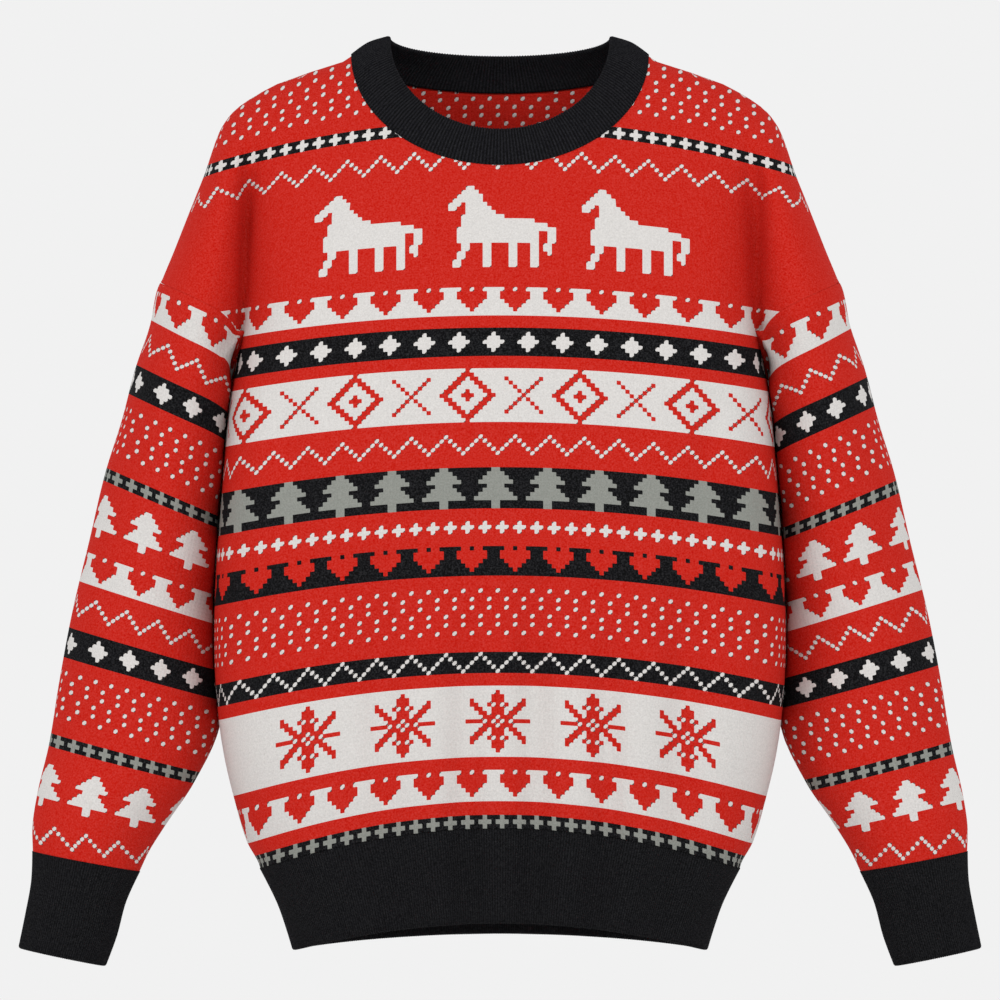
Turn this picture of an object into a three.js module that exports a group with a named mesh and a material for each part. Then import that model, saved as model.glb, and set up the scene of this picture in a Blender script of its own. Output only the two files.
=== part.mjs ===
// A loose crew-neck jumper with dropped shoulders, filled out as it hangs on a wearer, with nobody inside.
// Millimetres. The origin is the middle of the neck at the height of the shoulder points. Z is up, Y runs
// to the back and X to the wearer's left. A drop is a distance down from the origin.
import * as THREE from 'three';

// Cloth
const WALL = 2.4;
const RIB_WALL = 2.8;
const SEAM_GAP = 0.3;
const ARMHOLE_GAP = 0.42;

// Neck: half widths, and drops in the middle, of its seam and of its free edge
const NECK_SEAM_HALF = 114;
const NECK_EDGE_HALF = 86;
const NECK_EDGE_RISE = 13.8;
const NECK_EDGE_LEAN = 0.87;
const NECK_BULGE = 2.5;
const NECK_EDGE_DIP = { front: 59, back: 0.8 };

// Armhole seam, where the dropped shoulder ends: points (x, y, drop). Above its fold a point takes its
// depth from the shoulder's cloth, and below it its x from the body's side.
const ARMHOLE_TOP = 175;
const ARMHOLE_MIDDLE_DROP = 146;
const UNDERARM = 250;
const UNDERARM_MIDDLE_DROP = 233;
const ARMHOLE_FOLD = 212;
const ARMHOLE = [
  [261, 0, 175],
  [252, 44, 179],
  [230, 72, 189],
  [212, 66, 199],
  [201, 46, 214],
  [202, 22, 234],
  [204, 0, 250],
];

// Hem: where the rib starts at the sides, and how its rows and lower edges sag towards them
const HEM_SEAM = 624;
const HEM_END = 686;
const ROW_SAG = { top: 17, bottom: 32 };
const HEM_BOTTOM = { half: 160, front: 92, back: 88 };
const HEM_BULGE = 3;
const HEM_LEVELS = [0, 0.45, 1];

// Grid of a panel: rows down the shoulder, the armhole and the side, and columns from side to side
const SHOULDER_ROWS = 7;
const ARMHOLE_ROWS = 6;
const SIDE_ROWS = 9;
const COLUMNS = 40;
const FOLD_COLUMN = 14;
const ROW_STEPS = 360;
const SHOULDER_STEPS = 200;
const ROUND_OFF = 1e-9;
const END_POWER = 24;
const CORNER = { x: 196, reach: 30, density: 1.2 };

// The fold between body and arm: its column's place on narrow rows, and its depth beside the underarm
const FOLD_SHARE = 0.86;
const FOLD_DEPTH = 44;
const FOLD_LEAST = 0.6;
const ARM_BLEND = 5;

// Ribs
const NECK_RIB = { pitch: 3.4, relief: 0.6 };
const HEM_RIB = { pitch: 9, relief: 0.8 };
const CUFF_RIB = { pitch: 7.5, relief: 0.8 };

// Level sections of the body. outer is the outline with the dropped shoulders, torso the body alone,
// front and back its depths, and square its corners' powers. The arm stands beside it from armStart.
const BODY_COLUMNS = [
  'drop', 'outer', 'torso', 'front', 'back', 'frontSquare', 'backSquare', 'armStart', 'armDepth',
];
const BODY = [
  [0, 114, 114, 34, 34, 2.2, 2.1, 190, 0],
  [20, 166, 166, 48, 48, 2.3, 2.1, 190, 0],
  [31.5, 188, 188, 56, 56, 2.4, 2.1, 190, 0],
  [42, 203, 203, 64, 63, 2.4, 2.1, 190, 0],
  [54.5, 213, 213, 72, 71, 2.5, 2.2, 190, 20],
  [63, 217, 216, 77, 76, 2.5, 2.2, 189, 38],
  [92, 227, 208, 90, 88, 2.6, 2.2, 188, 60],
  [112, 235, 202, 99, 96, 2.7, 2.2, 188, 68],
  [150, 250, 199, 111, 105, 2.9, 2.2, 188, 75],
  [180, 262, 198, 118, 110, 3, 2.2, 188, 78],
  [222, 273, 200, 122, 113, 3.1, 2.2, 196, 78],
  [259, 285, 206.6, 125, 112, 3.2, 2.2, 212, 78],
  [335, 306, 213.5, 127, 107, 3.2, 2.2, 300, 0],
  [416, 326, 218.9, 126, 107, 3.2, 2.2, 320, 0],
  [473, 338, 218.9, 125, 110, 3.2, 2.2, 330, 0],
  [512, 345, 215.8, 123, 111, 3.1, 2.2, 340, 0],
  [541, 350, 211.2, 121, 110, 3.1, 2.2, 345, 0],
  [570, 356, 204.3, 117, 107, 3, 2.2, 350, 0],
  [604, 358, 194.3, 110, 101, 2.9, 2.2, 355, 0],
  [626, 359, 184, 104, 96, 2.8, 2.2, 357, 0],
];

// Largest folds of the body: soft troughs (depth below zero) and ridges that run down it
const FOLD_COLUMNS = ['x', 'lean', 'top', 'bottom', 'width', 'depth'];
const SWELL_HIGH = 0.7;
const SWELL_SOFT = 0.8;
const FOLD_CLEAR = 20;
const FRONT_FOLDS = [
  [-112, 0.06, 380, 700, 24, -6],
  [-78, 0.04, 430, 700, 18, 3],
  [-44, -0.02, 450, 700, 17, -4.5],
  [8, 0.03, 400, 700, 20, -5],
  [62, 0.02, 470, 700, 19, -4],
  [118, -0.05, 400, 700, 24, -6],
  [-165, 0.1, 250, 420, 16, -5],
  [166, -0.12, 245, 400, 15, -5],
];
const BACK_FOLDS = [
  [-98, 0.05, 300, 700, 26, -7],
  [-30, -0.03, 420, 700, 20, -5],
  [36, 0.02, 380, 700, 22, -6],
  [104, -0.06, 330, 700, 24, -7],
];

// Rings of a sleeve below its seam: where the outline is outside (x, drop), the ring's width, how far it
// slopes towards the body in degrees, half its depth, and where its middle lies in Y
const SLEEVE_COLUMNS = ['x', 'drop', 'width', 'slope', 'halfDepth', 'y'];
const SLEEVE = [
  [269, 208, 88, 42, 78, 5],
  [280, 240, 90, 35, 79, 10],
  [291, 281, 94, 28, 78, 15],
  [303.5, 320, 100, 23, 76, 18],
  [316, 373, 108, 19, 72, 20],
  [329, 428, 119, 16.5, 68, 18],
  [339.5, 481, 129, 15, 65, 13],
  [348, 529, 117, 14.5, 61, 7],
  [355.5, 566, 103, 13, 56, 1],
  [359, 592, 92, 12, 49, -3],
  [358.7, 611.3, 83.5, 10.6, 42, -5],
];
const SLEEVE_CLEARANCE = 3;
const SLEEVE_START = 5;
const UNDERARM_POWER = 14;

// Sleeve folds: place down the sleeve from 0 to 1, angle round it from the outside over the front in
// degrees, how far each reaches, and its depth
const SLEEVE_FOLD_FADE = 6;
const SLEEVE_FOLD_COLUMNS = ['place', 'angle', 'along', 'round', 'depth'];
const SLEEVE_FOLDS = [
  [0.42, 55, 0.1, 40, -5],
  [0.58, 120, 0.09, 38, -5],
  [0.74, 60, 0.08, 45, -4.5],
  [0.86, 110, 0.06, 50, -4],
  [0.5, 235, 0.1, 42, -5.5],
  [0.7, 300, 0.09, 40, -5],
];

// Rings of a cuff, read as a sleeve's
const CUFF = [
  [358.7, 611.3, 83.5, 10.6, 42, -5],
  [359.5, 634, 74, 12, 37, -6],
  [364.5, 662, 71.5, 12, 35, -7.5],
  [369, 684, 68, 12, 33, -9],
];

const FACES = [
  { name: 'front', ahead: -1, neckDrop: 86, hemMiddle: 663.6, foldX: 198, folds: FRONT_FOLDS },
  { name: 'back', ahead: 1, neckDrop: 28.4, hemMiddle: 675.8, foldX: 191, folds: BACK_FOLDS },
];

const KNIT_RED = { color: 0xcc2f25, roughness: 0.95, metalness: 0 };
const RIB_BLACK = { color: 0x1b1b1d, roughness: 0.95, metalness: 0 };

const lerp = THREE.MathUtils.lerp;
const mm = (x, y, z) => new THREE.Vector3(x, y, z);
const named = (columns, row) => Object.fromEntries(columns.map((name, i) => [name, row[i]]));

/** A table read as smooth curves over its first column. */
function curves(columns, rows) {
  const places = rows.map((row) => row[0]);
  const values = rows.flatMap((row) => row.slice(1));
  const spline = new THREE.CubicInterpolant(places, values, columns.length - 1);
  return (place) => named(columns.slice(1), spline.evaluate(place));
}

const bodyAt = curves(BODY_COLUMNS, BODY);

/** How far the smooth cloth stands before or behind the plane of the side seams. */
function smoothDepth(face, x, drop) {
  const s = bodyAt(drop);
  const power = s[`${face.name}Square`];
  const across = Math.min(Math.abs(x) / s.torso, 1);
  const torso = s[face.name] * (1 - across ** power) ** (1 / power);
  const armHalf = (s.outer - s.armStart) / 2;
  const off = armHalf > 0 ? Math.abs(Math.abs(x) - s.armStart - armHalf) / armHalf : 1;
  const arm = Math.max(s.armDepth, 0) * Math.sqrt(1 - Math.min(off, 1) ** 2);
  return (torso ** ARM_BLEND + arm ** ARM_BLEND) ** (1 / ARM_BLEND);
}

/** A soft bump from 0 to 1 and back between two drops, highest a little above their middle. */
function swell(drop, top, bottom) {
  const place = (drop - top) / (bottom - top);
  return place > 0 && place < 1 ? Math.sin(Math.PI * place ** SWELL_HIGH) ** SWELL_SOFT : 0;
}

/** The largest folds' share of the depth. */
function foldDepth(face, x, drop) {
  let sum = 0;
  for (const row of face.folds) {
    const fold = named(FOLD_COLUMNS, row);
    const off = (x - fold.x - fold.lean * (drop - fold.top)) / fold.width;
    sum += fold.depth * Math.exp(-off * off) * swell(drop, fold.top, fold.bottom);
  }
  return sum;
}

/** Drops down the shoulder outline, the same way apart along it. */
function shoulderDrops(count) {
  const along = [0];
  const dropAt = (i) => (ARMHOLE_TOP * i) / SHOULDER_STEPS;
  for (let i = 1; i <= SHOULDER_STEPS; i += 1) {
    const step = bodyAt(dropAt(i)).outer - bodyAt(dropAt(i - 1)).outer;
    along.push(along[i - 1] + Math.hypot(step, ARMHOLE_TOP / SHOULDER_STEPS));
  }
  return Array.from({ length: count + 1 }, (_, k) => {
    const wanted = (along[SHOULDER_STEPS] * k) / count;
    return dropAt(along.findIndex((length) => length >= wanted - ROUND_OFF));
  });
}

/** A point of the armhole seam, set on the smooth cloth. */
function seamEnd(face, point) {
  if (point.z < ARMHOLE_FOLD) {
    return { x: point.x, y: smoothDepth(face, point.x, point.z), drop: point.z };
  }
  const s = bodyAt(point.z);
  const power = s[`${face.name}Square`];
  const x = s.torso * (1 - (point.y / s[face.name]) ** power) ** (1 / power);
  return { x, y: point.y, drop: point.z };
}

/** Every row of a panel: where it ends, the drop of its middle, and the power of its curve. */
function panelRows(face) {
  const rows = [];
  shoulderDrops(SHOULDER_ROWS).forEach((drop, k) => {
    const part = k / SHOULDER_ROWS;
    rows.push({
      end: { x: bodyAt(drop).outer, y: 0, drop },
      middle: lerp(face.neckDrop, ARMHOLE_MIDDLE_DROP, part),
      power: 1 + part,
      kind: 'shoulder',
    });
  });
  const seam = new THREE.CatmullRomCurve3(ARMHOLE.map((row) => mm(...row)));
  seam.getSpacedPoints(ARMHOLE_ROWS).slice(1).forEach((point, k) => {
    rows.push({
      end: seamEnd(face, point),
      middle: lerp(ARMHOLE_MIDDLE_DROP, UNDERARM_MIDDLE_DROP, (k + 1) / ARMHOLE_ROWS),
      power: 2,
      kind: 'armhole',
    });
  });
  for (let k = 1; k <= SIDE_ROWS; k += 1) {
    const drop = lerp(UNDERARM, HEM_SEAM, k / SIDE_ROWS);
    rows.push({
      end: { x: bodyAt(drop).torso, y: 0, drop },
      middle: drop - lerp(ROW_SAG.top, ROW_SAG.bottom, k / SIDE_ROWS),
      power: 2,
      kind: 'side',
    });
  }
  return rows;
}

/** How far out a row meets the fold between body and arm, which runs on down the body's corner. */
function foldPlace(face, end) {
  if (end.x > face.foldX / FOLD_SHARE) return face.foldX;
  if (end.drop < ARMHOLE_TOP) return end.x * FOLD_SHARE;
  const s = bodyAt(end.drop);
  const power = s[`${face.name}Square`];
  const x = s.torso * (1 - (FOLD_DEPTH / s[face.name]) ** power) ** (1 / power);
  return Math.min(x, end.x - FOLD_LEAST);
}

/** Points the same weighted way apart along part of a densely sampled row. */
function spaced(points, along, first, last, count) {
  return Array.from({ length: count }, (_, k) => {
    const wanted = lerp(along[first], along[last], (k + 1) / count);
    const above = Math.max(along.findIndex((length) => length >= wanted - ROUND_OFF), 1);
    const part = Math.min((wanted - along[above - 1]) / (along[above] - along[above - 1]), 1);
    const [from, to] = [points[above - 1], points[above]];
    return {
      x: lerp(from.x, to.x, part),
      y: lerp(from.y, to.y, part),
      drop: lerp(from.drop, to.drop, part),
    };
  });
}

/** Half a row of smooth points from the middle to its end, with one on the fold beside the arm. */
function halfRow(face, row) {
  const { end, middle, power } = row;
  const missing = end.y - smoothDepth(face, end.x, end.drop);
  const place = (part) => {
    const x = end.x * Math.sin((part * Math.PI) / 2);
    const inside = Math.max(1 - (x / end.x) ** 2, 0);
    const drop = end.drop + (middle - end.drop) * inside ** (power / 2);
    const y = smoothDepth(face, x, drop) + missing * (x / end.x) ** END_POWER;
    return { x, y: Math.max(y, 0), drop };
  };
  const points = Array.from({ length: ROW_STEPS + 1 }, (_, i) => place(i / ROW_STEPS));
  const along = [0];
  for (let i = 1; i <= ROW_STEPS; i += 1) {
    const [last, point] = [points[i - 1], points[i]];
    const step = Math.hypot(point.x - last.x, point.y - last.y, point.drop - last.drop);
    const near = Math.exp(-(((point.x - CORNER.x) / CORNER.reach) ** 2));
    along.push(along[i - 1] + step * (1 + CORNER.density * near));
  }
  const foldX = foldPlace(face, end);
  const fold = points.findIndex((point) => point.x >= foldX);
  return [
    points[0],
    ...spaced(points, along, 0, fold, FOLD_COLUMN),
    ...spaced(points, along, fold, ROW_STEPS, COLUMNS / 2 - FOLD_COLUMN),
  ];
}

/** The outer points of a panel, row by row, from the wearer's right (x below zero) to the left. */
function panelPoints(face) {
  return panelRows(face).map((row) => {
    const half = halfRow(face, row);
    const whole = [...half.slice(1).reverse().map((p) => ({ ...p, x: -p.x })), ...half];
    return whole.map((p) => {
      const clear = Math.min(p.y / FOLD_CLEAR, 1);
      const depth = p.y + clear * foldDepth(face, p.x, p.drop) + SEAM_GAP / 2;
      return mm(p.x, face.ahead * depth, -p.drop);
    });
  });
}

/** Unit normals of a grid of points, from their neighbours. */
function gridNormals(points, around) {
  const rows = points.length;
  const count = points[0].length;
  const column = (j) => (around ? (j + count) % count : Math.min(Math.max(j, 0), count - 1));
  return points.map((row, i) =>
    row.map((_, j) => {
      const along = points[Math.min(i + 1, rows - 1)][j].clone().sub(points[Math.max(i - 1, 0)][j]);
      const across = row[column(j + 1)].clone().sub(row[column(j - 1)]);
      return along.cross(across).normalize();
    }),
  );
}

/** A normal turned so that it has no part along a direction. */
function without(normal, direction) {
  return normal.clone().addScaledVector(direction, -normal.dot(direction)).normalize();
}

/** A normal turned so that its wall, which lies behind it, doesn't reach past a seam. */
function keptBehind(normal, pastSeam) {
  return normal.dot(pastSeam) < 0 ? without(normal, pastSeam) : normal;
}

/** Adds a four-sided face, split across its shorter diagonal. */
function addQuad(points, faces, [a, b, c, d]) {
  const first = points[a].distanceToSquared(points[c]);
  const second = points[b].distanceToSquared(points[d]);
  if (first <= second) faces.push(a, b, c, a, c, d);
  else faces.push(a, b, d, b, c, d);
}

/** A closed body from its points and faces, turned to face out. */
function solid(points, faces) {
  let volume = 0;
  for (let i = 0; i < faces.length; i += 3) {
    const [a, b, c] = faces.slice(i, i + 3).map((k) => points[k]);
    volume += a.dot(b.clone().cross(c));
  }
  const turned = volume < 0 ? faces.slice().reverse() : faces;
  const geometry = new THREE.BufferGeometry();
  const numbers = points.flatMap((point) => point.toArray());
  geometry.setAttribute('position', new THREE.Float32BufferAttribute(numbers, 3));
  geometry.setIndex(turned);
  geometry.computeVertexNormals();
  return geometry;
}

/** A wall of cloth between two grids of points, open at its borders or closed into a tube. */
function wall(outer, normals, thickness, around) {
  const inner = outer.map((row, i) =>
    row.map((point, j) => point.clone().addScaledVector(normals[i][j], -thickness)),
  );
  const rows = outer.length;
  const count = outer[0].length;
  const points = [...outer, ...inner].flat();
  const faces = [];
  const at = (layer, i, j) => (layer * rows + i) * count + (j % count);
  const quad = (...corners) => addQuad(points, faces, corners);
  const spans = around ? count : count - 1;
  for (let j = 0; j < spans; j += 1) {
    for (let i = 0; i < rows - 1; i += 1) {
      quad(at(0, i, j), at(0, i + 1, j), at(0, i + 1, j + 1), at(0, i, j + 1));
      quad(at(1, i, j), at(1, i, j + 1), at(1, i + 1, j + 1), at(1, i + 1, j));
    }
    quad(at(0, 0, j), at(0, 0, j + 1), at(1, 0, j + 1), at(1, 0, j));
    const last = rows - 1;
    quad(at(0, last, j), at(1, last, j), at(1, last, j + 1), at(0, last, j + 1));
  }
  if (!around) {
    for (let i = 0; i < rows - 1; i += 1) {
      quad(at(0, i, 0), at(1, i, 0), at(1, i + 1, 0), at(0, i + 1, 0));
      const last = count - 1;
      quad(at(0, i, last), at(0, i + 1, last), at(1, i + 1, last), at(1, i, last));
    }
  }
  return solid(points, faces);
}

/** A ribbed tube: ribs stand on the outside of its levels, and the inside is plain. */
function ribbedBand(levels, normals, rib) {
  const count = levels[0].length;
  const steps = levels[0].map((point, j) => {
    const length = point.distanceTo(levels[0][(j + 1) % count]);
    return 2 * Math.max(1, Math.round(length / rib.pitch));
  });
  const starts = steps.map((_, j) => steps.slice(0, j).reduce((sum, n) => sum + n, 0));
  const fineCount = starts[count - 1] + steps[count - 1];
  const fine = levels.map((level, i) =>
    level.flatMap((point, j) => {
      const next = (j + 1) % count;
      return Array.from({ length: steps[j] }, (_, k) => {
        const part = k / steps[j];
        const up = normals[i][j].clone().lerp(normals[i][next], part).normalize();
        return point.clone().lerp(level[next], part).addScaledVector(up, (k % 2) * rib.relief);
      });
    }),
  );
  const plain = levels.map((level, i) =>
    level.map((point, j) => point.clone().addScaledVector(normals[i][j], -RIB_WALL)),
  );
  const plainStart = levels.length * fineCount;
  const outside = (i, k) => i * fineCount + (k % fineCount);
  const inside = (i, j) => plainStart + i * count + (j % count);
  const points = [...fine, ...plain].flat();
  const faces = [];
  const quad = (...corners) => addQuad(points, faces, corners);
  for (let i = 0; i < levels.length - 1; i += 1) {
    for (let k = 0; k < fineCount; k += 1) {
      quad(outside(i, k), outside(i + 1, k), outside(i + 1, k + 1), outside(i, k + 1));
    }
    for (let j = 0; j < count; j += 1) {
      quad(inside(i, j), inside(i, j + 1), inside(i + 1, j + 1), inside(i + 1, j));
    }
  }
  const last = levels.length - 1;
  for (let j = 0; j < count; j += 1) {
    const end = starts[j] + steps[j];
    for (let k = starts[j]; k < end; k += 1) {
      faces.push(inside(0, j), outside(0, k), outside(0, k + 1));
      faces.push(inside(last, j), outside(last, k + 1), outside(last, k));
    }
    faces.push(inside(0, j), outside(0, end), inside(0, j + 1));
    faces.push(inside(last, j), inside(last, j + 1), outside(last, end));
  }
  return solid(points, faces);
}

/** The neck band's seam, middle and free edge over one station of the neckline. */
function neckStation(face, seam) {
  const inside = Math.sqrt(Math.max(1 - (seam.x / NECK_SEAM_HALF) ** 2, 0));
  const sink = NECK_EDGE_DIP[face.name] + NECK_EDGE_RISE;
  const edge = mm(
    (seam.x * NECK_EDGE_HALF) / NECK_SEAM_HALF,
    seam.y * NECK_EDGE_LEAN,
    NECK_EDGE_RISE - sink * inside,
  );
  return { seam, edge, up: edge.clone().sub(seam).normalize() };
}

/** Runs once round the garment over the same columns of the front and back panels. */
function stationsAround(make) {
  const [front, back] = FACES;
  const forward = Array.from({ length: COLUMNS + 1 }, (_, j) => make(front, j));
  const behind = Array.from({ length: COLUMNS - 1 }, (_, k) => make(back, COLUMNS - 1 - k));
  return [...forward, ...behind];
}

const panels = Object.fromEntries(FACES.map((face) => [face.name, panelPoints(face)]));

/** A point of a panel's border, moved onto the plane of the side seams where it lies beside it. */
function borderPoint(face, row, j) {
  const point = panels[face.name][row][j].clone();
  if (Math.abs(point.y) < SEAM_GAP) point.y = 0;
  return point;
}

const neckStations = stationsAround((face, j) => neckStation(face, borderPoint(face, 0, j)));
const neckNormals = neckStations.map((station, j) => {
  const count = neckStations.length;
  const after = neckStations[(j + 1) % count].seam;
  const before = neckStations[(j + count - 1) % count].seam;
  return after.clone().sub(before).cross(station.up).normalize();
});

/** The neck band, seamed to both panels. */
function neckBand() {
  const middle = neckStations.map(({ seam, edge }, j) =>
    seam.clone().lerp(edge, 0.5).addScaledVector(neckNormals[j], NECK_BULGE),
  );
  const levels = [
    neckStations.map((station) => station.seam),
    middle,
    neckStations.map((station) => station.edge),
  ];
  return ribbedBand(levels, [neckNormals, neckNormals, neckNormals], NECK_RIB);
}

const lastRow = panels.front.length - 1;
const UP = mm(0, 0, 1);

/** The hem band, pulled in below both panels. */
function hemBand() {
  const stations = stationsAround((face, j) => {
    const top = borderPoint(face, lastRow, j);
    const inward = HEM_BOTTOM.half / bodyAt(HEM_SEAM).torso;
    const depth = HEM_BOTTOM[face.name] / bodyAt(HEM_SEAM)[face.name];
    const x = top.x * inward;
    const drop = lerp(face.hemMiddle, HEM_END, (x / HEM_BOTTOM.half) ** 2);
    const bottom = mm(x, top.y * depth, -drop);
    return HEM_LEVELS.map((share) => {
      const point = top.clone().lerp(bottom, share);
      point.z -= SEAM_GAP * (1 - share);
      return point;
    });
  });
  const levels = HEM_LEVELS.map((_, i) => stations.map((station) => station[i]));
  const normals = levels.map((level) =>
    level.map((_, j) => {
      const count = level.length;
      const across = level[(j + 1) % count].clone().sub(level[(j + count - 1) % count]);
      return across.cross(UP).normalize();
    }),
  );
  levels[1].forEach((point, j) => point.addScaledVector(normals[1][j], HEM_BULGE));
  return ribbedBand(levels, normals, HEM_RIB);
}

/** The way a ring's sleeve runs down, square to the ring, for the side with the given sign. */
function downFrom(ring, side) {
  const slope = THREE.MathUtils.degToRad(ring.slope);
  return mm(side * Math.sin(slope), 0, -Math.cos(slope));
}

/** The body's half width at a point's depth and height. */
function bodyHalfAt(point) {
  const s = bodyAt(Math.min(-point.z, HEM_SEAM));
  const face = FACES[point.y < 0 ? 0 : 1];
  const power = s[`${face.name}Square`];
  const deep = Math.min(Math.abs(point.y) / s[face.name], 1);
  return s.torso * (1 - deep ** power) ** (1 / power);
}

/** The points of a sleeve's or cuff's ring, from the outside over the front and round the back. */
function ringPoints(ring, side, count, foldAt) {
  const slope = THREE.MathUtils.degToRad(ring.slope);
  const inward = mm(-side * Math.cos(slope), 0, -Math.sin(slope));
  const outside = mm(side * ring.x, ring.y, -ring.drop);
  const centre = outside.clone().addScaledVector(inward, ring.width / 2);
  return Array.from({ length: count }, (_, k) => {
    const angle = (2 * Math.PI * k) / count;
    const out = foldAt(THREE.MathUtils.radToDeg(angle));
    const point = centre
      .clone()
      .addScaledVector(inward, -Math.cos(angle) * (ring.width / 2 + out))
      .add(mm(0, -Math.sin(angle) * (ring.halfDepth + out), 0));
    const least = bodyHalfAt(point) + SLEEVE_CLEARANCE;
    point.x = side * Math.max(side * point.x, least);
    return point;
  });
}

/** How far a sleeve's folds move its surface at a place down it and an angle round it. */
function sleeveFold(place, angle) {
  return SLEEVE_FOLDS.map((row) => named(SLEEVE_FOLD_COLUMNS, row)).reduce((sum, fold) => {
    const down = (place - fold.place) / fold.along;
    const around = (angle - fold.angle) / fold.round;
    return sum + fold.depth * Math.exp(-down * down - around * around);
  }, 0);
}

const SEAM_POINTS = 4 * ARMHOLE_ROWS;

/** The way out of the panels across the armhole seam, at each point of the seam's ring. */
function armholeWays(side) {
  const down = downFrom(named(SLEEVE_COLUMNS, SLEEVE[0]), side);
  return Array.from({ length: SEAM_POINTS }, (_, k) => {
    const under = Math.sin((Math.PI * k) / SEAM_POINTS) ** UNDERARM_POWER;
    return down.clone().lerp(mm(side, 0, 0), under).normalize();
  });
}

/** The armhole seam as the panels have it, halved between their rows. */
function armholeRing(side) {
  const column = side < 0 ? 0 : COLUMNS;
  const rows = Array.from({ length: ARMHOLE_ROWS + 1 }, (_, k) => SHOULDER_ROWS + k);
  const front = rows.map((row) => borderPoint(FACES[0], row, column));
  const back = rows.map((row) => borderPoint(FACES[1], row, column));
  const ring = [...front, ...back.slice(1, -1).reverse()];
  return ring.flatMap((point, k) => {
    const next = ring[(k + 1) % ring.length];
    return [point.clone(), point.clone().lerp(next, 0.5)];
  });
}

/** A sleeve from the armhole seam to the cuff seam. */
function sleeve(side) {
  const ways = armholeWays(side);
  const seam = armholeRing(side).map((point, k) => point.addScaledVector(ways[k], ARMHOLE_GAP));
  const rings = SLEEVE.map((row, i) => {
    const ring = named(SLEEVE_COLUMNS, row);
    const place = (i + 1) / SLEEVE.length;
    const fade = Math.min((1 - place) * SLEEVE_FOLD_FADE, 1);
    return ringPoints(ring, side, SEAM_POINTS, (angle) => fade * sleeveFold(place, angle));
  });
  const start = seam.map((point, k) => point.clone().addScaledVector(ways[k], SLEEVE_START));
  const points = [seam, start, ...rings];
  const normals = gridNormals(points, true).map((row) =>
    row.map((normal) => (side < 0 ? normal : normal.negate())),
  );
  normals[0] = normals[0].map((normal, k) => keptBehind(normal, ways[k].clone().negate()));
  const cuffWay = downFrom(named(SLEEVE_COLUMNS, CUFF[0]), side);
  const last = normals.length - 1;
  normals[last] = normals[last].map((normal) => without(normal, cuffWay));
  return wall(points, normals, WALL, true);
}

/** A cuff, pulled in below its sleeve. */
function cuff(side) {
  const levels = CUFF.map((row) => ringPoints(named(SLEEVE_COLUMNS, row), side, SEAM_POINTS, () => 0));
  const way = downFrom(named(SLEEVE_COLUMNS, CUFF[0]), side);
  levels[0].forEach((point) => point.addScaledVector(way, SEAM_GAP));
  const normals = gridNormals(levels, true).map((row) =>
    row.map((normal) => without(side < 0 ? normal : normal.negate(), way)),
  );
  return ribbedBand(levels, normals, CUFF_RIB);
}

/** A panel of the body with its dropped shoulders. */
function panel(face) {
  const points = panels[face.name].map((row) => row.map((point) => point.clone()));
  const stationAt = (j) => (face.name === 'front' ? j : (2 * COLUMNS - j) % (2 * COLUMNS));
  points[0].forEach((point, j) => point.addScaledVector(neckStations[stationAt(j)].up, -SEAM_GAP));
  const normals = gridNormals(points, false).map((row) =>
    row.map((normal) => (face.ahead < 0 ? normal : normal.negate())),
  );
  const across = mm(0, 1, 0);
  const rows = panelRows(face);
  rows.forEach((row, i) => {
    [0, COLUMNS].forEach((j) => {
      const side = j === 0 ? -1 : 1;
      const corner = i === SHOULDER_ROWS || i === SHOULDER_ROWS + ARMHOLE_ROWS;
      if (row.kind !== 'armhole' || corner) normals[i][j] = without(normals[i][j], across);
      if (row.kind === 'armhole' || corner) {
        const ways = armholeWays(side);
        const way = ways[2 * Math.max(i - SHOULDER_ROWS, 0)];
        normals[i][j] = keptBehind(normals[i][j], way);
      }
    });
  });
  normals[0] = normals[0].map((_, j) => neckNormals[stationAt(j)]);
  normals[lastRow] = normals[lastRow].map((normal) => without(normal, UP));
  return wall(points, normals, WALL, false);
}

/** One named piece of the garment. */
function piece(name, geometry, look) {
  const mesh = new THREE.Mesh(geometry, new THREE.MeshStandardMaterial({ ...look, name }));
  mesh.name = name;
  return mesh;
}

const LEFT = 1;
const RIGHT = -1;
const jumper = new THREE.Group();
jumper.add(
  piece('front_panel', panel(FACES[0]), KNIT_RED),
  piece('back_panel', panel(FACES[1]), KNIT_RED),
  piece('sleeve_left', sleeve(LEFT), KNIT_RED),
  piece('sleeve_right', sleeve(RIGHT), KNIT_RED),
  piece('neck_rib', neckBand(), RIB_BLACK),
  piece('hem_rib', hemBand(), RIB_BLACK),
  piece('cuff_left', cuff(LEFT), RIB_BLACK),
  piece('cuff_right', cuff(RIGHT), RIB_BLACK),
);

export default jumper;
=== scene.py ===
"""Looks of a loose, drop-shoulder Christmas jumper in jacquard knit, hollow and filled out as if worn.

The cloth is rebuilt course by course: every quad of a panel or sleeve is one knitted cell, so that the
yarn colours of the motif charts meet in crisp steps. Metres, +Z up, -Y to the front.
"""

import logging
import math
from dataclasses import dataclass, field
from enum import Enum
from typing import Any, Callable, Sequence

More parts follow.
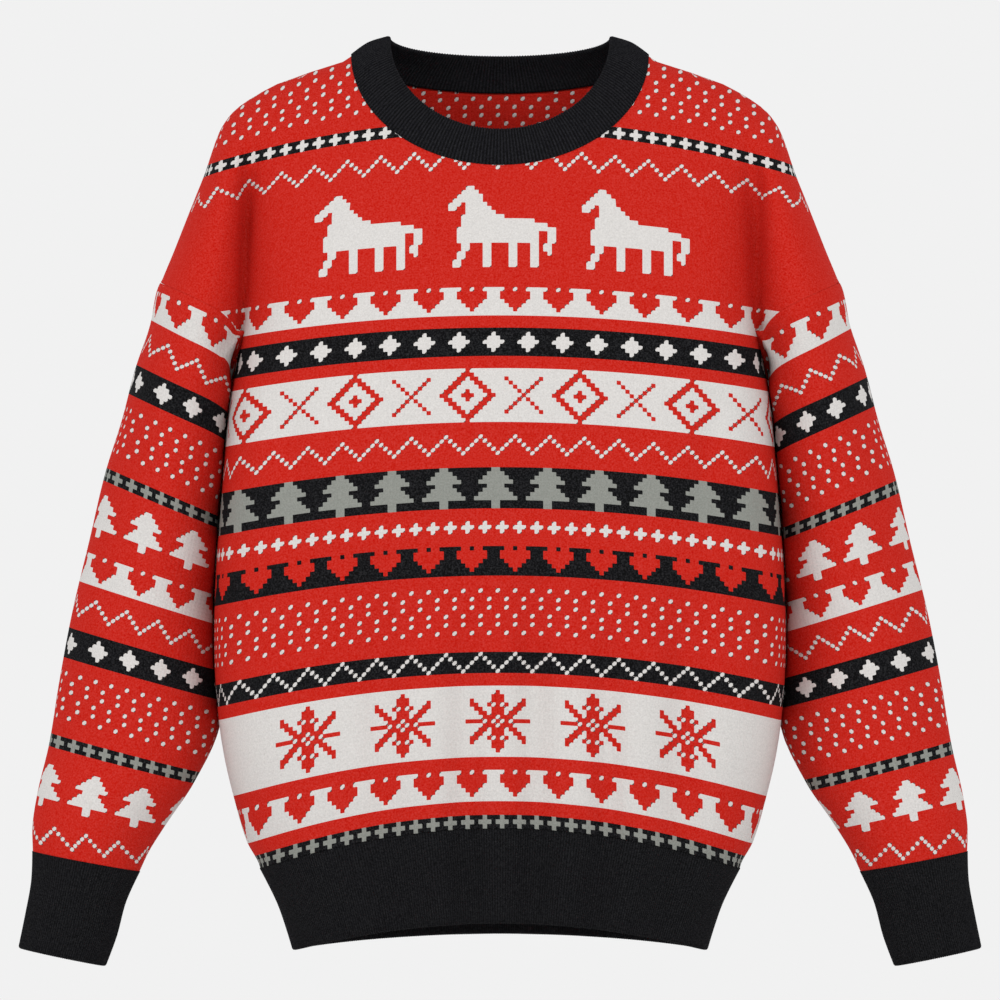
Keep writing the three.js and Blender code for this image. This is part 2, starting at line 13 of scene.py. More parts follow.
import bpy
import numpy as np
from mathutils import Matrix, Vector

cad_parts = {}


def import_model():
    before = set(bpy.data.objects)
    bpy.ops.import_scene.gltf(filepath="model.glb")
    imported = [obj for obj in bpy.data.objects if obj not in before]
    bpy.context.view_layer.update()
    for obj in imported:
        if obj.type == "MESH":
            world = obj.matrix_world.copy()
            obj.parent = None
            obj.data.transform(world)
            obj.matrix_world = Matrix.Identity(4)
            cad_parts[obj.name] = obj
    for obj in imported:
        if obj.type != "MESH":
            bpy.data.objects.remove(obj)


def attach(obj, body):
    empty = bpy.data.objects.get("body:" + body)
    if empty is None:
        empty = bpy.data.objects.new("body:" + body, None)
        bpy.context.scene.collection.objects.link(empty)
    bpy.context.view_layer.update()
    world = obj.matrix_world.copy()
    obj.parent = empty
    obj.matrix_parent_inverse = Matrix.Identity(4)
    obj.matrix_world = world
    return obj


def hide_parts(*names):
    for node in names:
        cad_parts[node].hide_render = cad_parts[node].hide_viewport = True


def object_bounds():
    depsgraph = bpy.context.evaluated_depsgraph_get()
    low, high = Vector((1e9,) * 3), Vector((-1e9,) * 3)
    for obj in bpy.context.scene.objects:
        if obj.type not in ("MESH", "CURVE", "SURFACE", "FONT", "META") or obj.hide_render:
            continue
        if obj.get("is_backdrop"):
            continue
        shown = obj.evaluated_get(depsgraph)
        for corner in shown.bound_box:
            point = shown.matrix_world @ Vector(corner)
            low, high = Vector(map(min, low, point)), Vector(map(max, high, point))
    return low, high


Array = np.ndarray
Thing = bpy.types.Object
Socket = bpy.types.NodeSocket
log = logging.getLogger("jumper")
MM = 0.001


# Shape of the body, in millimetres


class Face(Enum):
    """The two sides of the body, with the way each faces along Y."""

    FRONT = -1
    BACK = 1


class Yarn(Enum):
    """Yarn colours of the jacquard, with the place of each in the colour ramp."""

    RED = 0
    WHITE = 1
    BLACK = 2
    GREY = 3


class Spline:
    """Smooth curves through the rows of a table, read over its first column."""

    def __init__(self, rows: Sequence[Sequence[float]]) -> None:
        """Args: rows: numbers, places in the first column. Each end goes on as its mirror image."""
        inner = np.array(rows, float)
        ends = inner[[1, -2]]
        ends[:, 0] = 2 * inner[[0, -1], 0] - ends[:, 0]
        self.rows = np.vstack([ends[:1], inner, ends[1:]])

    def __call__(self, place: Any) -> Array:
        """Values at one place or several. Args: place: number or array. Returns: one column a curve."""
        t, v = self.rows[:, 0], self.rows[:, 1:]
        place = np.clip(np.asarray(place, float), t[1], t[-2])
        i = np.clip(np.searchsorted(t, place, side="right"), 2, len(t) - 2)
        span = t[i] - t[i - 1]
        p = ((place - t[i - 1]) / span)[..., None]
        early = (span / 2 / (t[i - 1] - t[i - 2]))[..., None]
        late = (span / 2 / (t[i + 1] - t[i]))[..., None]
        p2, p3 = p * p, p * p * p
        return (
            (-early * p3 + 2 * early * p2 - early * p) * v[i - 2]
            + ((1 + early) * p3 + (-1.5 - 2 * early) * p2 + (early - 0.5) * p + 1) * v[i - 1]
            + ((-1 - late) * p3 + (1.5 + late) * p2 + 0.5 * p) * v[i]
            + (late * p3 - late * p2) * v[i + 1]
        )


def table(text: str) -> list[list[float]]:
    """A table of numbers. Args: text: a line for each row. Returns: its rows."""
    return [[float(number) for number in line.split()] for line in text.strip().splitlines()]


def totals(steps: Array) -> Array:
    """Running totals, from 0."""
    return np.concatenate([[0], np.cumsum(steps)])


def way_along(points: Array) -> Array:
    """Length passed at each point of a line, from 0. Args: points: rows of xyz."""
    return totals(np.linalg.norm(np.diff(points, axis=0), axis=1))


def interpolated(at: Array, places: Array, rows: Array) -> Array:
    """A table read between its rows. Args: at: where to read; places: growing place of each row."""
    return np.column_stack([np.interp(at, places, column) for column in rows.T])


def unit(vectors: Array) -> Array:
    """The vectors at length 1. Args: vectors: xyz on the last axis."""
    return vectors / np.maximum(np.linalg.norm(vectors, axis=-1, keepdims=True), 1e-9)


def ringed(points: Array) -> Array:
    """A ring's points with the first once more at the end."""
    return np.vstack([points, points[:1]])


def ring_steps(points: Array, axis: int = 0) -> Array:
    """From the point before to the point after, round a ring. Args: axis: the one that goes round."""
    return np.roll(points, -1, axis=axis) - np.roll(points, 1, axis=axis)


def superellipse(place: Array, reach: Any, power: Any) -> Array:
    """Share of a section's other half axis. Args: place: off the middle; reach: the half axis there; power:
    squareness. Returns: 1 in the middle, 0 from the reach on."""
    return (1 - np.minimum(np.abs(place) / reach, 1) ** power) ** (1 / power)


@dataclass(frozen=True)
class Fold:
    """A soft trough (depth below zero) or ridge down the body, in mm. Lean is its drift in X a mm of drop."""

    x: float
    lean: float
    top: float
    bottom: float
    width: float
    depth: float

    def __call__(self, x: Array, drop: Array) -> Array:
        """How far it moves the cloth out. Args: x, drop: places. Returns: millimetres."""
        place = np.clip((drop - self.top) / (self.bottom - self.top), 0, 1)
        swell = np.sin(np.pi * place**0.7) ** 0.8
        off = (x - self.x - self.lean * (drop - self.top)) / self.width
        return self.depth * np.exp(-off * off) * np.nan_to_num(swell)


# drop, outline half, torso half, front and back depth, their squareness, arm start and depth
BODY = Spline(
    table("""
0 114 114 34 34 2.2 2.1 190 0
20 166 166 48 48 2.3 2.1 190 0
31.5 188 188 56 56 2.4 2.1 190 0
42 203 203 64 63 2.4 2.1 190 0
54.5 213 213 72 71 2.5 2.2 190 20
63 217 216 77 76 2.5 2.2 189 38
92 227 208 90 88 2.6 2.2 188 60
112 235 202 99 96 2.7 2.2 188 68
150 250 199 111 105 2.9 2.2 188 75
180 262 198 118 110 3 2.2 188 78
222 273 200 122 113 3.1 2.2 196 78
259 285 206.6 125 112 3.2 2.2 212 78
335 306 213.5 127 107 3.2 2.2 300 0
416 326 218.9 126 107 3.2 2.2 320 0
473 338 218.9 125 110 3.2 2.2 330 0
512 345 215.8 123 111 3.1 2.2 340 0
541 350 211.2 121 110 3.1 2.2 345 0
570 356 204.3 117 107 3 2.2 350 0
604 358 194.3 110 101 2.9 2.2 355 0
626 359 184 104 96 2.8 2.2 357 0
""")
)
# How sharply torso and arm meet where the one grows out of the other
ARM_BLEND = 5
# Drops of the top of the armhole, the point where its seam meets the torso, the underarm, and the hem seam
ARMHOLE_TOP, ARMHOLE_FOLD, UNDERARM, HEM_SEAM = 175.0, 212.0, 250.0, 624.0
# Armhole seam from its top to the underarm: distance from the middle, depth and drop
ARMHOLE = [
    (261, 0, 175), (252, 44, 179), (230, 72, 189), (212, 66, 199), (201, 46, 214), (202, 22, 234),
    (204, 0, 250),
]
# Droop of the knitted courses: drop of a course in the middle, and its droop for each square mm of X
DROOP = Spline(
    [(-40, 7.6e-4), (0, 7.4e-4), (55, 6.6e-4), (146, 4.26e-4), (233, 4.08e-4), (412, 5.11e-4)]
    + [(512, 6.5e-4), (592, 9.45e-4)]
)


def smooth_depth(face: Face, x: Array, drop: Array) -> Array:
    """Depth of the smooth cloth from the plane of the side seams. Args: x, drop: places in mm."""
    s = BODY(drop)
    back = int(face is Face.BACK)
    torso = s[..., 2 + back] * superellipse(x, s[..., 1], s[..., 4 + back])
    half = np.maximum((s[..., 0] - s[..., 6]) / 2, 1e-3)
    arm = np.maximum(s[..., 7], 0) * superellipse(np.abs(x) - s[..., 6] - half, half, 2)
    return (torso**ARM_BLEND + arm**ARM_BLEND) ** (1 / ARM_BLEND)


def armhole_curve(face: Face, steps: int = 240) -> Array:
    """Armhole seam on the smooth cloth. Args: face: side; steps: points less one. Returns: x, y, drop."""
    points = np.array(ARMHOLE, float)
    places = totals(np.sqrt(np.linalg.norm(np.diff(points, axis=0), axis=1)))
    curve = Spline(np.column_stack([places, points]))(np.linspace(0, places[-1], 4 * steps))
    way = way_along(curve)
    x, y, drop = np.abs(interpolated(np.linspace(0, way[-1], steps + 1), way, curve).T)
    s = BODY(drop)
    back = int(face is Face.BACK)
    below = s[:, 1] * superellipse(y, s[:, 2 + back], s[:, 4 + back])
    low = drop >= ARMHOLE_FOLD
    return np.column_stack([np.where(low, below, x), np.where(low, y, smooth_depth(face, x, drop)), drop])


# Knitted cells and courses


@dataclass(frozen=True)
class Gauge:
    """Width of a knitted cell in millimetres, on the body, its shoulders and the sleeves, and how far the
    cloth stretches before its sides."""

    wale: float = 3.29
    shoulder_wale: float = 3.2
    sleeve_wale: float = 3.13
    stretch: float = 1.75
    sleeve_stretch: float = 2.1


GAUGE = Gauge()
# course, counted from the top of the upper hearts, and its drop in the middle of the body
COURSES = Spline(
    [(-80, -72.1), (-61, -11.9), (-41, 51.5), (-25, 101.9), (-5, 164.3), (0, 179.6), (10, 210.5)]
    + [(20, 241.4), (36, 291.8), (57, 357.6), (73, 409.0), (96, 483.1), (116, 547.2), (129, 592.0)]
    + [(145, 647.2)]
)
FIRST_COURSE, LAST_COURSE = -61, 129
# Between these courses the shoulders' way of measuring cells passes into the body's
SHOULDER_COURSES = (-30, -20)
SHOULDER_LEAN = 0.9


@dataclass(frozen=True)
class Band:
    """One band of the jacquard: rows of a chart whose x is the motif, and where the repeat's middle lies."""

    chart: tuple[str, ...]
    ground: Yarn
    motif: Yarn
    middle: int = 0
    once: int = 0

    def row(self, r: int, columns: Array) -> Array:
        """Yarn places along a row. Args: r: chart row; columns: cell numbers. Returns: yarn indices."""
        text = self.chart[r]
        period = len(text)
        place = (columns - self.middle + period // 2) % period
        on = np.array([c == "x" for c in text])[place]
        if self.once:
            on &= np.abs(columns - self.middle + period // 2 + 0.5 - period / 2) < self.once * period / 2
        return np.where(on, self.motif.value, self.ground.value)


Bands = list[tuple[int, Band]]


def chart(width: int, height: int, rule: Callable[[int, int], bool]) -> tuple[str, ...]:
    """A chart from a rule. Args: rule: says from a cell's column off the middle and row if it is motif."""
    half = width // 2
    return tuple("".join("x" if rule(c - half, r) else "." for c in range(width)) for r in range(height))


def snow_rule(c: int, r: int) -> bool:
    """Eight-armed snowflake, the same all four ways. Args: c: column off the middle; r: row from 0."""
    c, r = abs(c), abs(r - 8)
    if r == 0:
        return c in (0, 2, 4, 5, 6, 7)
    arms = (c == 0 and 2 <= r <= 7) or (c == 1 and r in (1, 2, 3, 5, 6)) or (c, r) in ((2, 4), (6, 5))
    return arms or (c - r in (1, 2) and r <= 4)


def diamond_rule(c: int, r: int) -> bool:
    """A diamond with a plus in it, and a cross halfway to the next. Args: c, r: as for snow_rule."""
    off, row = abs(c), abs(r - 6)
    far = 13 - off
    return off + row in (5, 6) or off + row <= 1 or (far == row and row <= 4)


TREE_WIDTHS = (2, 4, 6, 8, 4, 6, 8, 10, 2, 2)
HEARTS = chart(10, 7, lambda c, r: abs(c) <= (2, 3, 3, 2, 1, 0, -1)[r] and (r > 0 or c != 0))
STARS = chart(8, 7, lambda c, r: abs(c) + abs(r - 3) <= 2)
ZIGZAG = chart(8, 5, lambda c, r: abs(c) == r)
PLUSES = chart(4, 3, lambda c, r: abs(c) + abs(r - 1) <= 1)
DIAMONDS = chart(26, 13, diamond_rule)
SNOW = chart(22, 17, snow_rule)
TREES = chart(12, 10, lambda c, r: -TREE_WIDTHS[r] <= 2 * c < TREE_WIDTHS[r])
DOT_A, DOT_B, PLAIN = "..x.", "x...", "...."


def dotted(order: str) -> tuple[str, ...]:
    """Rows of dots, a plain row above each. Args: order: A or B for each, A set off by half a repeat."""
    return tuple(row for letter in order for row in (PLAIN, DOT_A if letter == "A" else DOT_B))


DOTS = dotted("ABBAAB")[1:]
SHOULDER_DOTS = (*dotted("ABBAABBA"), PLAIN)
BACK_DOTS = dotted("BAABBAABBA")
HORSE_ROWS = """
....xx
...xxxx
..xxxxxx
.xxxxxxx
xxx.xxxxx
xx..xxxxxx
....xxxxxxx
...xxxxxxxxxx
...xxxxxxxxxxxxxxxxx
...xxxxxxxxxxxxxxxxxxxx
..xxxxxxxxxxxxxxxxxxxxxxx
..xxxxxxxxxxxxxxxxxxx..xx
..xxxxxxxxxxxxxxxxxxx..xx
..xxxxxxxxxxxxxxxxxxx..xx
...xx...xx....xx...xx.xx
...xx...xx....xx...xx.xx
..xx....xx....xx...xx..x
..xx....xx....xx...xx
.xx.....xx....xx...xx
.xx.....xx....xx...xx
"""
HORSE = tuple(row.ljust(31, ".") for row in HORSE_ROWS.split())
R, W, K, G = Yarn.RED, Yarn.WHITE, Yarn.BLACK, Yarn.GREY


def laid_out(start: int, rows: Sequence[Sequence[Any]]) -> Bands:
    """Bands with the course each starts at. Args: start: the first one's; rows: plain red courses below a
    band, and what it is made of. Returns: pairs of course and band."""
    placed = []
    for gap, *look in rows:
        placed.append((start, Band(*look)))
        start += len(look[0]) + gap
    return placed


TORSO_RUN = [
    (5, HORSE, R, W, 3, 3),
    (3, HEARTS, W, R, 3),
    (3, STARS, K, W, 6),
    (3, DIAMONDS, W, R, -8),
    (3, ZIGZAG, R, W, 3),
    (3, TREES, K, G, -1),
    (3, PLUSES, R, W, 0),
    (3, HEARTS, K, R, 3),
    (4, DOTS, R, W, 3),
    (3, ZIGZAG, K, W, 3),
    (3, SNOW, W, R, -1, 5),
    (3, HEARTS, W, R, 3),
    (0, PLUSES, K, G, 0),
]
SHOULDER_RUNS = {
    Face.FRONT: [(3, SHOULDER_DOTS, R, W, 1), (4, PLUSES, K, W, 0), (4, ZIGZAG, R, W, 3)],
    Face.BACK: [(2, BACK_DOTS, R, W, 1), (2, PLUSES, K, W, 0), (4, ZIGZAG, R, W, 3)],
}
BODY_BANDS = {face: laid_out(FIRST_COURSE, [*run, *TORSO_RUN]) for face, run in SHOULDER_RUNS.items()}


def sleeve_run(middles: Sequence[int], gaps: Sequence[int] = (3, 3, 3, 4, 3, 4)) -> list[Any]:
    """Half a sleeve. Args: middles: the cell each band's motif is centred on; gaps: plain red courses below
    each. Returns: rows for laid_out."""
    looks = (HEARTS, W, R), (ZIGZAG, R, W), (STARS, K, W), (DOTS, R, W), (PLUSES, K, G), (TREES, R, W)
    return [(gap, *look, middle) for gap, look, middle in zip(gaps, looks, middles)]


RIGHT_RUNS = sleeve_run((-1, 2, -4, -1, -1, -3)), sleeve_run((2, 4, -2, -2, -2, -6), (3, 3, 3, 4, 4, 4))
LEFT_RUNS = sleeve_run((0, 1, -3, 1, 2, -5), (4, 3, 3, 4, 3, 3)), sleeve_run((2, 2, -1, 1, -1, -6))
RIGHT_SLEEVE_BANDS = laid_out(2, [*RIGHT_RUNS[0], *RIGHT_RUNS[1], (0, ZIGZAG, R, W, 2)])
LEFT_SLEEVE_BANDS = laid_out(4, [*LEFT_RUNS[0], *LEFT_RUNS[1], (0, ZIGZAG, R, W, 0)])
SLEEVE_COURSES = 136


# Building cloth


@dataclass
class Course:
    """One course as two runs of points from its middle outwards, to plus and to minus, with their cells."""

    runs: tuple[Array, Array]
    wale: float
    lean: float = 0.0
    cells: tuple[Array, Array] = field(init=False)

    def __post_init__(self) -> None:
        """Measures both runs in cells."""
        self.cells = self.measured(self.runs[0]), self.measured(self.runs[1])

    def measured(self, run: Array) -> Array:
        """Cells passed at each point. They widen as the run turns away from the front, up to a limit, and
        then narrow again. Args: run: points in mm. Returns: a growing list from 0."""
        step = np.diff(run, axis=0)
        way = np.linalg.norm(step, axis=1)
        across = np.maximum(np.hypot(step[:, 0], step[:, 2] * self.lean), 1e-6)
        turn = np.maximum(way / across, 1)
        most = GAUGE.stretch + (GAUGE.sleeve_stretch - GAUGE.stretch) * self.lean
        stretch = np.clip(np.minimum(turn, most**2 / turn), 1, None)
        return totals(way / stretch) / self.wale

    def at(self, cells: Array) -> Array:
        """Points at places in cells, held at the ends. Args: cells: places, minus to the other side."""
        plus, minus = (interpolated(s * cells, c, r) for s, c, r in zip((1, -1), self.cells, self.runs))
        return np.where((cells >= 0)[:, None], plus, minus)


def added(name: str, data: Any) -> Thing:
    """A new object in the scene. Args: name: its name; data: its mesh, lamp or camera."""
    thing = bpy.data.objects.new(name, data)
    bpy.context.scene.collection.objects.link(thing)
    return thing


@dataclass
class Shell:
    """A thin closed shell of cloth under construction: vertices in mm, faces, and what the faces carry."""

    points: Array
    faces: list[tuple[int, ...]]
    cells: Array
    yarns: Array
    thickness: float = 2.2

    def closed(self, name: str) -> Thing:
        """Adds the inner side and the rims. Args: name: the object's. Returns: the finished object."""
        count = len(self.points)
        outer = bpy.data.meshes.new(name + "_outer")
        outer.from_pydata(self.points * MM, [], self.faces)
        normals = np.zeros(count * 3)
        outer.vertices.foreach_get("normal", normals)
        bpy.data.meshes.remove(outer)
        inner = self.points - normals.reshape(-1, 3) * self.thickness
        edges: dict[tuple[int, int], int] = {}
        for f, face in enumerate(self.faces):
            for a, b in zip(face, face[1:] + face[:1]):
                if edges.pop((b, a), None) is None:
                    edges[(a, b)] = f
        rims = [(b, a, a + count, b + count) for a, b in edges]
        flipped = [tuple(v + count for v in reversed(face)) for face in self.faces]
        points = np.concatenate([self.points, inner]) * MM
        faces = [*self.faces, *flipped, *rims]
        yarns = np.concatenate([self.yarns, self.yarns, self.yarns[list(edges.values())]])
        cells = np.concatenate([self.cells, self.cells])[np.concatenate(faces)]
        maps = {"cells": cells, "OFBake": self.bake_map(len(rims))}
        side = np.repeat([0.0, 1.0, 0.0], [len(self.faces), len(self.faces), len(rims)])
        sharp = {frozenset(k) for k in edges} | {frozenset((a + count, b + count)) for a, b in edges}
        return make_object(name, points, faces, maps, yarns, side, sharp)

    def bake_map(self, rims: int, strip: float = 0.02, edge: float = 0.002) -> Array:
        """The cloth laid flat: outer and inner side next to each other, and the rims in a strip on top.
        Args: rims: their number; strip: its height; edge: free border. Returns: a place for each corner."""
        low, high = self.cells.min(axis=0), self.cells.max(axis=0)
        flat = (self.cells - low) / (high - low) * (0.5 - 2 * edge, 1 - strip - 3 * edge) + edge
        outer = flat[np.concatenate(self.faces)]
        inner = flat[np.concatenate([face[::-1] for face in self.faces])] + (0.5, 0)
        start = np.arange(rims)[:, None] / rims
        across = start + np.array([1, 0, 0, 1]) * 0.8 / rims
        up = np.broadcast_to(1 - strip + (strip - edge) * np.array([0, 0, 1, 1]), across.shape)
        return np.concatenate([outer, inner, np.column_stack([across.ravel(), up.ravel()])])


def make_object(
    name: str, points: Array, faces: list[tuple[int, ...]], maps: dict[str, Array],
    yarns: Array | None = None, side: Array | None = None, sharp: set[frozenset[int]] | None = None,
) -> Thing:
    """A smooth mesh object. Args: maps: named places of each corner; yarns: yarn of each face with those
    left, right, above and below it; side: 1 where a face is inside; sharp: hard edges."""
    mesh = bpy.data.meshes.new(name)
    mesh.from_pydata(points, [], faces)
    mesh.polygons.foreach_set("use_smooth", [True] * len(mesh.polygons))
    for label, places in maps.items():
        mesh.uv_layers.new(name=label).data.foreach_set("uv", places.ravel())
    if yarns is not None:
        code = (yarns + 0.5) / len(Yarn)
        for label, columns in (("yarn_across", (0, 1, 2)), ("yarn_along", (3, 4, 0))):
            layer = mesh.attributes.new(label, "FLOAT_VECTOR", "FACE")
            layer.data.foreach_set("vector", code[:, columns].ravel())
    if side is not None:
        mesh.attributes.new("inside", "FLOAT", "FACE").data.foreach_set("value", side)
    if sharp:
        pairs = np.zeros(len(mesh.edges) * 2, int)
        mesh.edges.foreach_get("vertices", pairs)
        hard = [frozenset(p) in sharp for p in pairs.reshape(-1, 2).tolist()]
        mesh.attributes.new("sharp_edge", "BOOLEAN", "EDGE").data.foreach_set("value", hard)
    mesh.validate()
    return added(name, mesh)


# A cell itself, and the cells left, right, above and below it: courses down, cells to the right
NEIGHBOURS = ((0, 0), (0, -1), (0, 1), (-1, 0), (1, 0))


@dataclass
class Jacquard:
    """A piece knitted in cells from courses, each course a row of the charts."""

    name: str
    courses: list[Course]
    bands: Bands
    first: int = 0
    outward: int = 1
    hole: Callable[[Array], tuple[Array, Array]] | None = None

    def yarn_table(self, half: int) -> Array:
        """Yarn of each cell, with a border of one. Args: half: cells to each side. Returns: a table."""
        columns = np.arange(-half - 1, half + 1)
        yarns = np.full((len(self.courses) + 1, len(columns)), Yarn.RED.value)
        for start, band in self.bands:
            for r in range(len(band.chart)):
                row = start - self.first + r + 1
                if 0 <= row < len(yarns):
                    yarns[row] = band.row(r, columns)
        return yarns

    def build(self) -> Thing:
        """Knits the piece. Returns: its finished object."""
        ends = np.array([[run[-1] for run in course.cells[::-1]] for course in self.courses])
        half = math.ceil(ends.max()) + 1
        columns = np.arange(-half, half + 1)
        rows = len(self.courses)
        grid = np.array([course.at(columns.astype(float)) for course in self.courses])
        last = np.ceil(ends - 1e-6).astype(int)
        held = np.clip(columns, -last[:, :1], last[:, 1:])
        index = np.arange(rows)[:, None] * len(columns) + held + half
        u = np.clip(columns, -ends[:, :1], ends[:, 1:])
        v = np.repeat(np.arange(rows, 0, -1.0)[:, None], len(columns), axis=1)
        keep = np.ones(grid.shape[:2], bool)
        if self.hole is not None:
            outside, moved = self.hole(grid)
            keep, grid = ~outside, np.where(outside[..., None], moved, grid)
        known = self.yarn_table(half)
        faces, yarns = [], []
        for i in range(rows - 1):
            for j in range(len(columns) - 1):
                if not keep[i : i + 2, j : j + 2].any():
                    continue
                loop = (index[i, j], index[i + 1, j], index[i + 1, j + 1], index[i, j + 1])
                face = tuple(dict.fromkeys(int(k) for k in loop))
                if len(face) < 3:
                    continue
                faces.append(face[:: self.outward])
                yarns.append([known[i + 1 + down, j + 1 + right] for down, right in NEIGHBOURS])
        flat = grid.reshape(-1, 3)
        used = sorted({k for face in faces for k in face})
        renumber = {k: n for n, k in enumerate(used)}
        faces = [tuple(renumber[k] for k in face) for face in faces]
        cells = np.column_stack([u.ravel(), v.ravel()])[used]
        return Shell(flat[used], faces, cells, np.array(yarns)).closed(self.name)


# The garment's pieces

# x, lean, top, bottom, width and depth of each fold
FRONT_FOLDS = table("""
-96 0.04 380 720 16 -7.5
-58 0.02 430 720 15 3.5
-25 -0.01 430 720 13 -9
24 0.02 400 720 14 -11
81 0.01 440 720 13 -10
142 -0.02 400 720 17 -12
-165 0.1 250 420 16 -5
166 -0.12 245 400 15 -5
-192.5 -0.052 88 212 5 -9
196.5 0.03 88 212 5 -9
""")
BACK_FOLDS = table("""
-98 0.05 300 700 26 -7
-30 -0.03 420 700 20 -5
36 0.02 380 700 22 -6
104 -0.06 330 700 24 -7
-194 -0.03 92 210 8 -6
195 0.04 90 210 7.5 -6
""")
# Gap left at a seam, depth below which the folds fade out towards the sides, half width of the neck seam, and
# how far down the cloth is cut away on top of the shoulders
SEAM_GAP, FOLD_CLEAR, NECK_HALF, TOP_TRIM = 0.3, 20, 114.0, 0.5


@dataclass
class Panel:
    """Front or back of the body with its dropped shoulders."""

    face: Face
    neck_drop: float
    folds: list[list[float]]
    samples: int = 420
    end_power: int = 24

    def border(self) -> Callable[[Array], Array]:
        """Where the panel ends at a drop. Returns: a function of drop that gives half width and depth."""
        seam = armhole_curve(self.face)
        shoulder, side = np.arange(-20, ARMHOLE_TOP, 1.0), np.arange(UNDERARM + 1, 640, 1.0)
        drops = np.concatenate([shoulder, seam[:, 2], side])
        above, below = drops < ARMHOLE_TOP, drops > UNDERARM
        ends = np.zeros((len(drops), 2))
        ends[above, 0] = BODY(drops[above])[:, 0]
        ends[below, 0] = BODY(drops[below])[:, 1]
        ends[~above & ~below] = seam[:, :2]
        return lambda drop: interpolated(drop, drops, ends)

    def shaped(self, x: Array, y: Array, drop: Array) -> Array:
        """Points of the cloth with its folds. Args: x, y, drop: smooth places. Returns: rows of xyz in mm."""
        clear = np.minimum(y / FOLD_CLEAR, 1)
        fold = sum(Fold(*row)(x, drop) for row in self.folds)
        return np.column_stack([x, self.face.value * (y + clear * fold + SEAM_GAP / 2), -drop])

    def courses(self) -> list[Course]:
        """Every course line from the shoulders to the hem. Returns: courses in order down."""
        border = self.border()
        out = []
        for number in range(FIRST_COURSE, LAST_COURSE + 1):
            middle = COURSES(number)[0]
            droop = DROOP(middle)[0]
            x = np.linspace(0, 300, 3001)
            past = x - border(middle + droop * x * x)[:, 0]
            k = int(np.argmax(past >= 0))
            end = x[k - 1] - past[k - 1] * (x[k] - x[k - 1]) / (past[k] - past[k - 1])
            x = end * np.sin(np.linspace(0, np.pi / 2, self.samples))
            drop = middle + droop * x * x
            y = smooth_depth(self.face, x, drop)
            wanted = border(drop[-1:])[0, 1]
            y = np.maximum(y + (wanted - y[-1]) * (x / end) ** self.end_power, 0)
            high = np.interp(number, SHOULDER_COURSES, (1, 0))
            wale = GAUGE.wale + (GAUGE.shoulder_wale - GAUGE.wale) * high
            sides = self.shaped(x, y, drop), self.shaped(-x, y, drop)
            out.append(Course(sides, wale, high * SHOULDER_LEAN))
        return out

    def neckline(self, angles: Array) -> Array:
        """Points of the neck seam. Args: angles: 0 in the middle, radians. Returns: rows of xyz in mm."""
        x, drop = NECK_HALF * np.sin(angles), self.neck_drop * np.cos(angles)
        y = smooth_depth(self.face, x, drop)
        return np.column_stack([x, self.face.value * y, -drop])

    def neck_hole(self, grid: Array) -> tuple[Array, Array]:
        """Which grid points lie in the neck opening, and all moved to its seam. Args: grid: points in mm."""
        x, drop = grid[..., 0], -grid[..., 2]
        inside = np.maximum(1 - (x / NECK_HALF) ** 2, 0)
        outside = (drop < TOP_TRIM) | ((np.abs(x) < NECK_HALF) & (drop < self.neck_drop * np.sqrt(inside)))
        line = self.neckline(np.linspace(-np.pi / 2, np.pi / 2, 721))
        moved = grid.copy()
        for i, j in np.argwhere(outside):
            off = line[:, [0, 2]] - grid[i, j, [0, 2]]
            moved[i, j] = line[np.argmin((off * off).sum(axis=1))]
        return outside, moved

    def build(self, name: str) -> Thing:
        """Knits the panel. Args: name: the object's. Returns: the finished object."""
        bands, outward = BODY_BANDS[self.face], -self.face.value
        return Jacquard(name, self.courses(), bands, FIRST_COURSE, outward, self.neck_hole).build()


@dataclass(frozen=True)
class SleeveFold:
    """A soft hollow of a sleeve: place down it 0 to 1, angle round it, its reach both ways, depth in mm."""

    place: float
    angle: float
    along: float
    around: float
    depth: float

    def __call__(self, place: float, angle: Array) -> Array:
        """How far it moves the cloth out. Args: place, angle: where, in degrees from the outside."""
        turned = (angle - self.angle + 180) % 360 - 180
        return self.depth * np.exp(-(((place - self.place) / self.along) ** 2) - (turned / self.around) ** 2)


# x and drop of the outside, width, slope in degrees, half depth, middle in Y, sag of the inner side
SLEEVE_RINGS = table("""
269 208 78 28.5 78 5 22
280 240 83 26 79 10 12
291 281 92 24.5 78 15 4
303.5 320 100 23 76 18 0
316 373 108 19 72 20 0
329 428 119 16.5 68 18 0
339.5 481 129 15 65 13 0
348 529 117 14.5 61 7 0
355.5 566 103 13 56 1 0
359 592 92 12 49 -3 0
358.7 611.3 83.5 10.6 42 -5 0
""")
CUFF_RINGS = [
    SLEEVE_RINGS[-1],
    (359.5, 634, 74, 12, 37, -6, 0),
    (364.5, 662, 71.5, 12, 35, -7.5, 0),
    (369, 684, 68, 12, 33, -9, 0),
]
# place, angle, reach along and around, and depth of each fold
LEFT_SLEEVE_FOLDS = table("""
0.42 55 0.1 40 -5
0.58 120 0.09 38 -5
0.74 60 0.08 45 -4.5
0.86 110 0.06 50 -4
0.5 235 0.1 42 -5.5
0.7 300 0.09 40 -5
""")
RIGHT_SLEEVE_FOLDS = table("""
0.38 62 0.1 36 -4.5
0.55 110 0.1 40 -5
0.71 52 0.09 44 -5
0.88 118 0.05 46 -4
0.47 245 0.1 40 -5
0.73 290 0.08 42 -5.5
""")
# Least gap between a sleeve and the body, and how closely the sag keeps to the inner side of a sleeve
CLEARANCE, SAG_POWER = 1.2, 6
# How far the courses lag behind on the inner side of a sleeve, over the way down its outside, in mm
COURSE_LAG = Spline([(-30, 0), (0, 0), (12, 13), (42, 14), (80, 8), (130, 0), (700, 0)])


